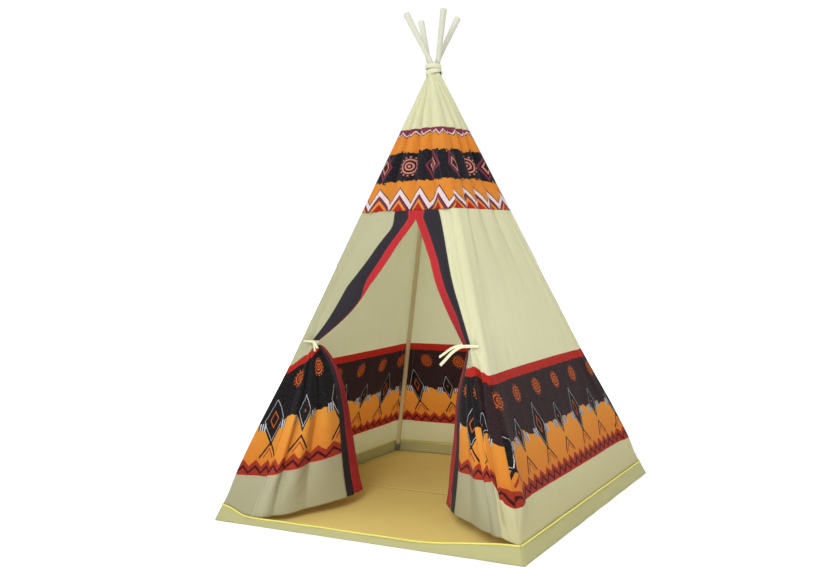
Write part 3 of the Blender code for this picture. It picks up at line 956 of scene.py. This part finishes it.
# Hem borders, piping and ground sheet
hem = {
    "wave": 0.0035, "pipe": 0.0022, "pipeWave": 0.0012,
    "wrinkle": 0.0022, "fineWrinkle": 0.0010,  # of the ground sheet
    "patch": 0.150,  # side of the ground sheet's corner piece
}


def makeBorder(side):
    name = sideNames[side]
    low, high = 0.0003, tent["seamHeight"] - 0.0008

    def at(across, rise):
        z = low + (high - sillSag(side, wallWidth(side, high) * across) - low) * rise
        return wallWidth(side, z) * across, z

    def place(across, rise):
        s, z = at(across, rise)
        free = smooth(0.0, 0.05, min(s, wallWidth(side, z) - s))
        share = math.sin(math.pi * min(max(rise, 0), 1))
        relief = hem["wave"] * lump(s, side * 2.7, z * 2, 0.09) * free * (0.35 + share)
        if rise < 0.3:
            relief = max(relief, -0.001)
        return wallPoint(side, s, z, relief)

    piece = newSheet(name + "BorderCloth", 110, 10, place, plain,
                     lambda a, b: (at(a, b), at(a, b)[::-1]))
    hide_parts(name + "_border")
    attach(piece, name + "_face")
    narrows(piece, side)


def makePiping(side):
    name = sideNames[side]
    z = tent["seamHeight"]
    width = wallWidth(side, z)

    def centre(t):
        s = width * t
        drop = hem["pipeWave"] * lump(s, side * 4.1, 0, 0.12) * smooth(0, 0.06, min(s, width - s))
        return wallPoint(side, s, z + drop - sillSag(side, s), hem["pipe"])

    rings, sides = 150, 14

    def place(across, rise):
        spot = centre(rise)
        ahead = (centre(min(rise + 0.002, 1)) - centre(max(rise - 0.002, 0))).normalized()
        out = Vector((ahead.y, -ahead.x, 0)).normalized()
        angle = 2 * math.pi * across
        return spot + (out * math.cos(angle) + Vector((0, 0, 1)) * math.sin(angle)) * hem["pipe"]

    piece = newSheet(name + "PipingCord", sides, rings, place, pipingCloth,
                     lambda a, b: ((a * 0.014, b * width), (0.02, b * width)), 0.0004, -1)
    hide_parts(name + "_piping")
    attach(piece, name + "_face")
    narrows(piece, side)


def makeGround(name, node, body, low, high, columns, rows, skip=None):
    def at(across, rise):
        return low[0] + (high[0] - low[0]) * across, low[1] + (high[1] - low[1]) * rise

    def place(across, rise):
        x, y = at(across, rise)
        edge = min(halfFront(0) - abs(x), halfFront(0) - abs(y))
        lift = 0.0004 + hem["wrinkle"] * max(lump(x, y, 3.3, 0.21) + 0.35, 0) * smooth(0, 0.10, edge)
        lift += hem["fineWrinkle"] * max(lump(x, y, 8.1, 0.06), 0) * smooth(0, 0.08, edge)
        for corner in range(4):
            spot = poleAt(corner, 0.01)
            far = math.hypot(x - spot.x, y - spot.y)
            lift = min(lift, 0.0004 + 0.02 * max(far - 0.02, 0))
        return Vector((x, y, lift))

    def coords(across, rise):
        x, y = at(across, rise)
        return (x, y), (halfFront(0) - max(abs(x), abs(y)), x + y)

    piece = newSheet(name, columns, rows, place, groundCloth, coords, 0.0008, 1)
    if skip:
        bpy.ops.object.mode_set(mode="EDIT")
        bpy.ops.mesh.select_all(action="DESELECT")
        bpy.ops.object.mode_set(mode="OBJECT")
        for face in piece.data.polygons:
            face.select = face.center.x < skip[0] and face.center.y < skip[1]
        bpy.ops.object.mode_set(mode="EDIT")
        bpy.ops.mesh.delete(type="FACE")
        bpy.ops.object.mode_set(mode="OBJECT")
    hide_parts(node)
    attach(piece, body)
    return piece


for side in range(4):
    makeBorder(side)
    makePiping(side)
reach = abs(wallPoint(0, wallWidth(0, 0.001) / 2, 0.001).y) - 0.0004
patch = hem["patch"] - reach
makeGround("groundCorner", "sheet_corner", "ground_corner", (-reach, -reach), (patch, patch), 15, 15)
front = makeGround("groundFront", "sheet_front_half", "front_sheet", (-reach, -reach), (reach, 0), 110, 55,
                   (patch, patch))
back = makeGround("groundBack", "sheet_back_half", "back_sheet", (-reach, 0), (reach, reach), 110, 55)
narrows(front, 0)
narrows(back, 2)
print("hem and ground sheet")


# Pole sleeves with their closed tips
sleeve = {
    "waist": 0.0080, "body": 0.0092, "end": 0.0112,  # radii at the lashing, below it and at the tip
    "foot": 0.030, "waistHalf": 0.020, "ease": 0.120, "flare": 0.185,
    "pucker": 0.0004, "wrinkle": 0.0003, "seam": 0.0006,
    "poleOver": 0.203, "tipRoom": 0.006,  # pole above the crossing, room over its end
    "tipRound": 0.002, "tipFrom": 0.97, "tipTurn": 0.4,  # the rounded end and its share of the rows
}
poleToCrossing = (tent["crossing"] - tent["footHeight"]) / math.cos(poleLean)
sleeveTop = poleToCrossing + sleeve["poleOver"] + sleeve["tipRoom"]


def poleFrame(corner):
    _, lean = polePlan(corner)
    up = Vector((lean.x * math.sin(poleLean), lean.y * math.sin(poleLean), math.cos(poleLean)))
    level = Vector((lean.y, -lean.x, 0))
    spot = poleAt(corner, tent["footHeight"])
    return Vector((spot.x, spot.y, tent["footHeight"])), level, up.cross(level), up


def sleeveRadius(z):
    away = z - poleToCrossing
    past = abs(away) - sleeve["waistHalf"]
    if past <= 0:
        return sleeve["waist"]
    if away > 0:
        return sleeve["waist"] + (sleeve["end"] - sleeve["waist"]) * min(past / sleeve["flare"], 1)
    room = sleeve["ease"] - sleeve["waistHalf"]
    return sleeve["waist"] + (sleeve["body"] - sleeve["waist"]) * min(past / room, 1)


def makeSleeve(corner):
    origin, level, other, up = poleFrame(corner)
    name = cornerNames[corner]
    girth = 2 * math.pi * sleeve["body"]
    tall = sleeveTop - sleeve["foot"]

    def at(rise):
        # the last rows turn over the end and close it
        soft, last, half = sleeve["tipRound"], sleeve["tipFrom"], sleeve["tipTurn"]
        if rise <= last:
            z = sleeve["foot"] + (tall - soft) * rise / last
            return z, sleeveRadius(z)
        t = (rise - last) / (1 - last)
        turn = math.pi / 2 * min(t / half, 1)
        radius = sleeve["end"] - soft + soft * math.cos(turn)
        if t > half:
            radius *= 1 - (t - half) / (1 - half)
        return sleeveTop - soft + soft * math.sin(turn) - 0.0012 * max(t - half, 0), radius

    def place(across, rise):
        z, radius = at(rise)
        angle = 2 * math.pi * across
        loose = smooth(0.022, 0.08, z - poleToCrossing)
        wrinkle = sleeve["wrinkle"] * lump(math.cos(angle) * 0.3, math.sin(angle) * 0.3, z * 3 + corner, 0.1)
        atTip = 0.4 + 0.6 * smooth(sleeveTop - 0.03, sleeveTop, z)
        crimp = sleeve["pucker"] * math.sin(7 * angle + corner) * loose * atTip
        seam = sleeve["seam"] * math.exp(-((across - 0.5) / 0.02) ** 2)
        fade = min(radius / 0.004, 1)  # none of it at the middle of the closed end
        radius = max(radius + (wrinkle + crimp + seam) * fade - 0.0004, 0.0001)
        return origin + (level * math.cos(angle) + other * math.sin(angle)) * radius + up * z

    def coords(across, rise):
        return (across * girth, sleeve["foot"] + tall * rise), (abs(across - 0.5) * girth, tall * rise)

    piece = newSheet(name + "_sleeveCloth", 28, 330, place, sleeveCloth, coords, 0.0005, -1)
    bpy.ops.object.mode_set(mode="EDIT")
    bpy.ops.mesh.select_all(action="SELECT")
    bpy.ops.mesh.remove_doubles(threshold=0.00002)
    bpy.ops.mesh.normals_make_consistent(inside=False)
    bpy.ops.object.mode_set(mode="OBJECT")
    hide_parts(name + "_sleeve")
    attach(piece, name + "_pole")


for corner in range(4):
    makeSleeve(corner)
print("sleeves")


# Lashing of tape round the crossing
lashing = {
    "width": 0.0165, "thick": 0.0014, "turns": 2.0, "meanRadius": 0.030,
    "pitch": 0.012,  # rise from one turn to the next
    "tilt": 0.0042,  # the turns lean opposite ways, as in a wound knot
    "over": 0.0022,  # how far the second turn lies over the first
    "puff": 0.0034, "overCloth": 0.0026, "reachDown": 0.004,
}


def bundleReach(rise):
    away = rise * math.tan(poleLean)
    wide = sleeve["waist"] / math.cos(poleLean)
    reaches = []
    for degrees in range(0, 91, 5):
        turn = math.radians(degrees)
        aside = tent["poleOffset"] + sleeve["waist"] * math.sin(turn)
        reaches.append(math.hypot(away + wide * math.cos(turn), aside))
    return max(reaches)


def makeLashing():
    look = lashing

    def place(across, rise):
        angle = 2 * math.pi * look["turns"] * rise
        middle = look["pitch"] * look["turns"] * (rise - 0.5)
        z = middle + look["width"] * (across - 0.5)
        z -= look["reachDown"] * (1 - across) * smooth(0.55, 0.35, rise)
        z += look["tilt"] * math.cos(math.pi * rise) * math.sin(angle + 0.6)
        radius = bundleReach(abs(middle) + look["width"] / 2) + 0.0004
        radius += look["overCloth"] * smooth(0.0, -0.010, z) * smooth(-0.028, -0.018, z)
        radius += look["over"] * smooth(0.30, 0.62, rise)
        radius += look["puff"] * math.sin(math.pi * across)
        radius += 0.0004 * lump(math.cos(angle) * 0.1, math.sin(angle) * 0.1, z, 0.012)
        return Vector((radius * math.cos(angle), radius * math.sin(angle), tent["crossing"] + z))

    length = 2 * math.pi * look["meanRadius"] * look["turns"]
    coords = ribbonCoords(look["width"], length)
    piece = newSheet("lashingTape", 8, 190, place, lashingCloth, coords, look["thick"], 1)
    bevel = piece.modifiers.new("softEdges", "BEVEL")
    bevel.width = 0.0004
    bevel.segments = 2
    bpy.ops.object.modifier_apply(modifier=bevel.name)
    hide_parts("crown_lashing")
    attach(piece, "crown")


makeLashing()
print("lashing")


# Ties that hold the flaps back
ties = {
    # "tails" are the ends' places from the knot
    "left": {"hand": -1, "tails": ((0.022, -0.008, -0.020), (0.012, -0.010, -0.030)), "wide": 0.007},
    "right": {"hand": 1, "tails": ((-0.084, -0.004, -0.034), (-0.078, -0.010, -0.058)), "wide": 0.0095},
}
tieRing = {"radius": 0.0125, "wide": 0.007, "long": 0.08, "run": 0.030, "knot": 0.0052}
tailDroop = ((0, 0), (0.2, 0.8), (0.5, 1), (0.8, 0.4), (1, 0))  # share of the way, share of the droop


def ribbonAlong(name, route, wide, face, material, thick=0.0009, steps=40):
    # A flat ribbon along a smooth route; face is the way its flat side looks
    count = len(route) - 1

    def spotAt(t):
        t = min(max(t, 0), 1) * count
        i = min(int(t), count - 1)
        f = t - i
        p = [route[max(i - 1, 0)], route[i], route[i + 1], route[min(i + 2, count)]]
        return 0.5 * (2 * p[1] + (p[2] - p[0]) * f + (2 * p[0] - 5 * p[1] + 4 * p[2] - p[3]) * f * f
                      + (3 * p[1] - p[0] - 3 * p[2] + p[3]) * f ** 3)

    def place(across, rise):
        ahead = (spotAt(rise + 0.01) - spotAt(rise - 0.01)).normalized()
        sideWay = ahead.cross(face).normalized()
        cup = 0.0006 * math.cos(math.pi * (across - 0.5) * 2)
        return spotAt(rise) + sideWay * wide * (across - 0.5) + face * cup

    spots = [spotAt(i / steps) for i in range(steps + 1)]
    length = sum((b - a).length for a, b in zip(spots, spots[1:]))
    piece = newSheet(name, 6, steps, place, material, ribbonCoords(wide, length), thick, 1)
    return piece, spots, length


def makeTie(word):
    look = ties[word]
    hand = look["hand"]
    ringRadius = tieRing["radius"]
    heart = frontPoint(hand * (darkTie - ringRadius - 0.004), tieZ)
    knotAt = heart + Vector((0, -ringRadius, 0))
    bits = []

    def ringPlace(across, rise):
        angle = 2 * math.pi * rise
        radius = ringRadius + 0.0006 * math.sin(3 * angle)
        lift = tieRing["wide"] * (across - 0.5) + 0.0015 * math.sin(2 * angle)
        return heart + Vector((math.cos(angle) * radius, math.sin(angle) * radius, lift))

    coords = ribbonCoords(tieRing["wide"], tieRing["long"])
    bits.append(newSheet(word + "TieLoop", 6, 48, ringPlace, tieCloth, coords, 0.0009, 1))
    for i, tail in enumerate(look["tails"]):
        end = knotAt + Vector(tail)
        droop = Vector((0, 0, abs(tail[0]) / 8))
        route = [knotAt.lerp(end, t) + droop * share for t, share in tailDroop]
        face = Vector((0, -0.8, 0.6 - 0.5 * i)).normalized()
        ribbon, spots, length = ribbonAlong(f"{word}Tail{i}", route, look["wide"], face, tieCloth)
        if length < 6 * look["wide"]:
            bits.append(ribbon)
            continue
        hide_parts(word + "_tie")
        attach(ribbon, "front_face")
        tuple(spots[0])
        [tuple(spot) for spot in spots]
        narrows(ribbon, 0)
    outer = frontPoint(hand * (darkTie + tieRing["run"]), tieZ, 0.004)
    route = [outer, outer.lerp(knotAt, 0.5) + Vector((0, -0.003, 0.001)), knotAt]
    bits.append(ribbonAlong(word + "TieRun", route, look["wide"], Vector((0, -1, 0)), tieCloth)[0])
    bpy.ops.object.select_all(action="DESELECT")
    bpy.ops.mesh.primitive_uv_sphere_add(segments=32, ring_count=20, radius=tieRing["knot"], location=knotAt)
    knot = bpy.context.object
    knot.name = word + "TieKnot"
    for vert in knot.data.vertices:
        away = vert.co.copy()
        twist = math.atan2(away.z, away.x)
        groove = 0.0007 * math.sin(3 * twist + 900 * away.y)
        groove += 0.0004 * lump(away.x * 20, away.y * 20, away.z * 20, 0.05)
        vert.co = Vector((away.x * 1.15, away.y * 0.8, away.z * 0.9)) + away.normalized() * groove
    bpy.ops.object.transform_apply(location=True, rotation=True, scale=True)
    bpy.ops.object.shade_smooth()
    knot.data.uv_layers[0].name = "cloth"
    edge = knot.data.uv_layers.new(name="edge")
    for loop in knot.data.loops:
        spot = knot.data.vertices[loop.vertex_index].co
        knot.data.uv_layers["cloth"].data[loop.index].uv = (spot.x + spot.y, spot.z)
        edge.data[loop.index].uv = (0.02, spot.z)
    knot.data.materials.append(tieCloth)
    bits.append(knot)
    bpy.ops.object.select_all(action="DESELECT")
    for bit in bits:
        bit.select_set(True)
    bpy.context.view_layer.objects.active = bits[0]
    bpy.ops.object.join()
    whole = bpy.context.object
    whole.name = word + "TieRibbon"
    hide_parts(word + "_tie")
    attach(whole, "front_face")
    narrows(whole, 0)


for word in ("left", "right"):
    makeTie(word)
print("ties")


# Plastic and rubber pieces keep the solids' shapes
for name, piece in nodes.items():
    finish = None
    if name.endswith("tube"):
        finish = tubePlastic
    elif name.endswith("plug"):
        finish = plugPlastic
    elif name.endswith("foot_cap"):
        finish = footRubber
    if finish:
        for place in piece.material_slots:
            place.material = finish
print("poles")


# Stage, light and camera
studio = {
    "floorTone": 0.86,
    "worldLight": 0.88,
    "nearWhite": 0.22,  # what the floor adds for the camera, so that it reads as white
    "fadeFrom": 1.3, "fadeTo": 3.2,
    "lamps": {
        "key": ((1.3, -4.1, 3.0), 2.0, 116),
        "fill": ((-4.2, -2.2, 2.4), 3.0, 16),
        "right": ((4.6, 0.4, 2.6), 2.5, 4),
    },
}


def straightRay(tree):
    # 1 for rays from the camera, mirrored ones and ones that pass through
    rays = tree.nodes.new("ShaderNodeLightPath").outputs
    other = calc("MAXIMUM", rays["Is Glossy Ray"], rays["Is Transmission Ray"])
    return calc("MAXIMUM", rays["Is Camera Ray"], other)


bpy.ops.object.select_all(action="DESELECT")
bpy.ops.mesh.primitive_plane_add(size=80, location=(0, 0, -0.0006))
floor = bpy.context.object
floor.name = "studioFloor"
floorMaterial = bpy.data.materials.new("studioFloor")
floorMaterial.use_nodes = True
tree = floorMaterial.node_tree
shader = tree.nodes["Principled BSDF"]
shader.inputs["Base Color"].default_value = (studio["floorTone"],) * 3 + (1,)
shader.inputs["Roughness"].default_value = 0.95
shader.inputs["Specular IOR Level"].default_value = 0.0
glow = tree.nodes.new("ShaderNodeEmission")
split = tree.nodes.new("ShaderNodeSeparateXYZ")
tree.links.new(objectCoords(tree), split.inputs[0])
x, y, _ = split.outputs
far = calc("SQRT", plus(times(x, x), times(y, y)))
fade = calc("DIVIDE", minus(far, studio["fadeFrom"]), studio["fadeTo"] - studio["fadeFrom"])
fade.node.use_clamp = True
tree.links.new(times(straightRay(tree), plus(fade, studio["nearWhite"])), glow.inputs["Strength"])
both = tree.nodes.new("ShaderNodeAddShader")
tree.links.new(shader.outputs[0], both.inputs[0])
tree.links.new(glow.outputs[0], both.inputs[1])
tree.links.new(both.outputs[0], tree.nodes["Material Output"].inputs["Surface"])
floor.data.materials.append(floorMaterial)

world = bpy.data.worlds.new("studio")
bpy.context.scene.world = world
world.use_nodes = True
tree = world.node_tree
air = tree.nodes["Background"]
air.inputs["Color"].default_value = (1, 1, 1, 1)
seen = times(straightRay(tree), 1.02 - studio["worldLight"])
tree.links.new(plus(seen, studio["worldLight"]), air.inputs["Strength"])

for name, (spot, size, power) in studio["lamps"].items():
    bpy.ops.object.light_add(type="AREA", location=spot)
    lamp = bpy.context.object
    lamp.name = name + "Light"
    lamp.data.shape = "DISK"
    lamp.data.size = size
    lamp.data.energy = power
    lamp.rotation_euler = (Vector((0, 0, 0.7)) - Vector(spot)).to_track_quat("-Z", "Y").to_euler()

shot = {
    "at": (1.5711, -2.763, 0.8594), "yaw": 27.906, "pitch": -1.988, "roll": 1.562,
    "lens": 40.072, "shift": (-0.0656, -0.0116),
}
bpy.ops.object.camera_add(location=shot["at"])
camera = bpy.context.object
camera.name = "photoCamera"
turn = Matrix.Rotation(math.radians(shot["yaw"]), 3, "Z")
turn = turn @ Matrix.Rotation(math.radians(shot["pitch"]), 3, "X")
turn = turn @ Matrix.Rotation(math.radians(shot["roll"]), 3, "Y")
right, ahead, up = turn.col[0], turn.col[1], turn.col[2]
camera.matrix_world = Matrix.Translation(shot["at"]) @ Matrix((right, up, -ahead)).transposed().to_4x4()
camera.data.lens = shot["lens"]
camera.data.sensor_width = 36
camera.data.shift_x, camera.data.shift_y = shot["shift"]
bpy.context.scene.camera = camera
bpy.context.scene.view_settings.view_transform = "Standard"
print("stage")
